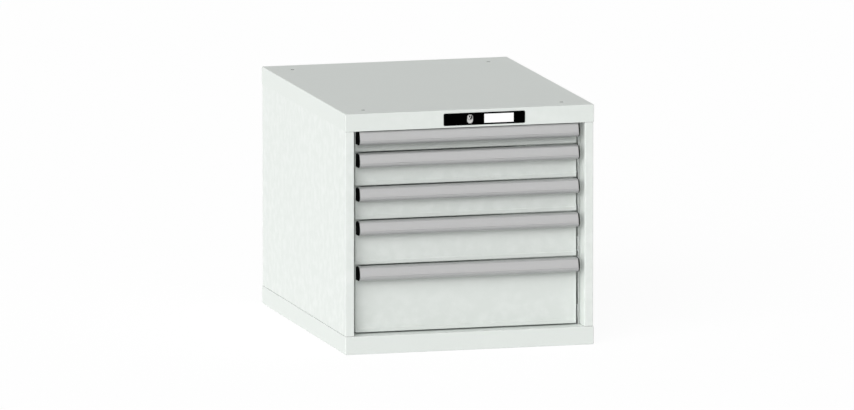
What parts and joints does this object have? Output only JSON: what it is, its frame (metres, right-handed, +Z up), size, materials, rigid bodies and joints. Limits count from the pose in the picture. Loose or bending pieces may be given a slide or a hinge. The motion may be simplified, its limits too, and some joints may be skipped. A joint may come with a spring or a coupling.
{
  "type": "multi-drawer cabinet",
  "caption": "Low steel workshop cabinet: folded sheet casing, full-extension drawers with aluminium grip rails, and a central lock in the header.",
  "frame": {"origin": "middle of the base's underside, at the centre of the overall width and depth", "axes": "+X to the cabinet's right seen from the front, the drawers open towards -Y, +Z up"},
  "size_m": [0.564, 0.7274, 0.533],
  "materials": {
    "casing_paint": "light grey powder coat, matt",
    "drawer_paint": "light grey powder coat, matt",
    "grip_aluminium": "satin anodised",
    "label_cover": "clear cover over grey paper",
    "black_plastic": "black moulded plastic",
    "white_card": "blank white card",
    "zinc_steel": "zinc-plated sheet",
    "roller_steel": "hardened steel rollers",
    "screw_steel": "zinc-plated screws",
    "lock_metal": "nickel-plated lock"
  },
  "bodies": {
    "casing": {"top_cover": "casing_paint", "base_plinth": "casing_paint", "floor_plate": "casing_paint", "left_side_wall": "casing_paint", "right_side_wall": "casing_paint", "back_panel": "casing_paint", "back_panel_screws": "screw_steel", "left_uprights": "zinc_steel", "right_uprights": "zinc_steel", "left_casing_rails": "zinc_steel", "right_casing_rails": "zinc_steel", "lock_plate": "black_plastic", "name_card": "white_card", "lock_cylinder": "lock_metal", "lock_retainer": "zinc_steel", "lock_guides": "zinc_steel"},
    "drawer_1": {"drawer_1_box": "drawer_paint", "drawer_1_front": "drawer_paint", "drawer_1_grip": "grip_aluminium", "drawer_1_label_strip": "label_cover", "drawer_1_end_caps": "black_plastic", "drawer_1_rails": "zinc_steel"},
    "drawer_2": {"drawer_2_box": "drawer_paint", "drawer_2_front": "drawer_paint", "drawer_2_grip": "grip_aluminium", "drawer_2_label_strip": "label_cover", "drawer_2_end_caps": "black_plastic", "drawer_2_rails": "zinc_steel"},
    "drawer_3": {"drawer_3_box": "drawer_paint", "drawer_3_front": "drawer_paint", "drawer_3_grip": "grip_aluminium", "drawer_3_label_strip": "label_cover", "drawer_3_end_caps": "black_plastic", "drawer_3_rails": "zinc_steel"},
    "drawer_4": {"drawer_4_box": "drawer_paint", "drawer_4_front": "drawer_paint", "drawer_4_grip": "grip_aluminium", "drawer_4_label_strip": "label_cover", "drawer_4_end_caps": "black_plastic", "drawer_4_rails": "zinc_steel"},
    "drawer_5": {"drawer_5_box": "drawer_paint", "drawer_5_front": "drawer_paint", "drawer_5_grip": "grip_aluminium", "drawer_5_label_strip": "label_cover", "drawer_5_end_caps": "black_plastic", "drawer_5_rails": "zinc_steel"},
    "carriage_1": {"drawer_1_carriages": "zinc_steel", "drawer_1_rollers": "roller_steel"},
    "carriage_2": {"drawer_2_carriages": "zinc_steel", "drawer_2_rollers": "roller_steel"},
    "carriage_3": {"drawer_3_carriages": "zinc_steel", "drawer_3_rollers": "roller_steel"},
    "carriage_4": {"drawer_4_carriages": "zinc_steel", "drawer_4_rollers": "roller_steel"},
    "carriage_5": {"drawer_5_carriages": "zinc_steel", "drawer_5_rollers": "roller_steel"},
    "lock": {"lock_plug": "lock_metal", "lock_cam": "lock_metal"},
    "lock_slide": {"lock_slide": "zinc_steel", "lock_bar": "zinc_steel"}
  },
  "joints": [
    {"name": "drawer_1_slide", "type": "slide", "parent": "casing", "child": "drawer_1", "axis": [0, -1, 0], "range_m": [0, 0.612]},
    {"name": "drawer_2_slide", "type": "slide", "parent": "casing", "child": "drawer_2", "axis": [0, -1, 0], "range_m": [0, 0.612]},
    {"name": "drawer_3_slide", "type": "slide", "parent": "casing", "child": "drawer_3", "axis": [0, -1, 0], "range_m": [0, 0.612]},
    {"name": "drawer_4_slide", "type": "slide", "parent": "casing", "child": "drawer_4", "axis": [0, -1, 0], "range_m": [0, 0.612]},
    {"name": "drawer_5_slide", "type": "slide", "parent": "casing", "child": "drawer_5", "axis": [0, -1, 0], "range_m": [0, 0.612]},
    {"name": "carriage_1_slide", "type": "slide", "parent": "casing", "child": "carriage_1", "axis": [0, -1, 0], "range_m": [0, 0.306]},
    {"name": "carriage_2_slide", "type": "slide", "parent": "casing", "child": "carriage_2", "axis": [0, -1, 0], "range_m": [0, 0.306]},
    {"name": "carriage_3_slide", "type": "slide", "parent": "casing", "child": "carriage_3", "axis": [0, -1, 0], "range_m": [0, 0.306]},
    {"name": "carriage_4_slide", "type": "slide", "parent": "casing", "child": "carriage_4", "axis": [0, -1, 0], "range_m": [0, 0.306]},
    {"name": "carriage_5_slide", "type": "slide", "parent": "casing", "child": "carriage_5", "axis": [0, -1, 0], "range_m": [0, 0.306]},
    {"name": "lock_turn", "type": "hinge", "parent": "casing", "child": "lock", "pos_m": [0, -0.35, 0.51545], "axis": [0, 1, 0], "range_deg": [0, 90]},
    {"name": "lock_slide_shift", "type": "slide", "parent": "casing", "child": "lock_slide", "axis": [-1, 0, 0], "range_m": [0, 0.008]}
  ],
  "couplings": [
    {"joint": "carriage_1_slide", "follows": "drawer_1_slide", "ratio": 0.5},
    {"joint": "carriage_2_slide", "follows": "drawer_2_slide", "ratio": 0.5},
    {"joint": "carriage_3_slide", "follows": "drawer_3_slide", "ratio": 0.5},
    {"joint": "carriage_4_slide", "follows": "drawer_4_slide", "ratio": 0.5},
    {"joint": "carriage_5_slide", "follows": "drawer_5_slide", "ratio": 0.5},
    {"joint": "lock_turn", "follows": "lock_slide_shift", "rad_per_m": 196.35}
  ]
}
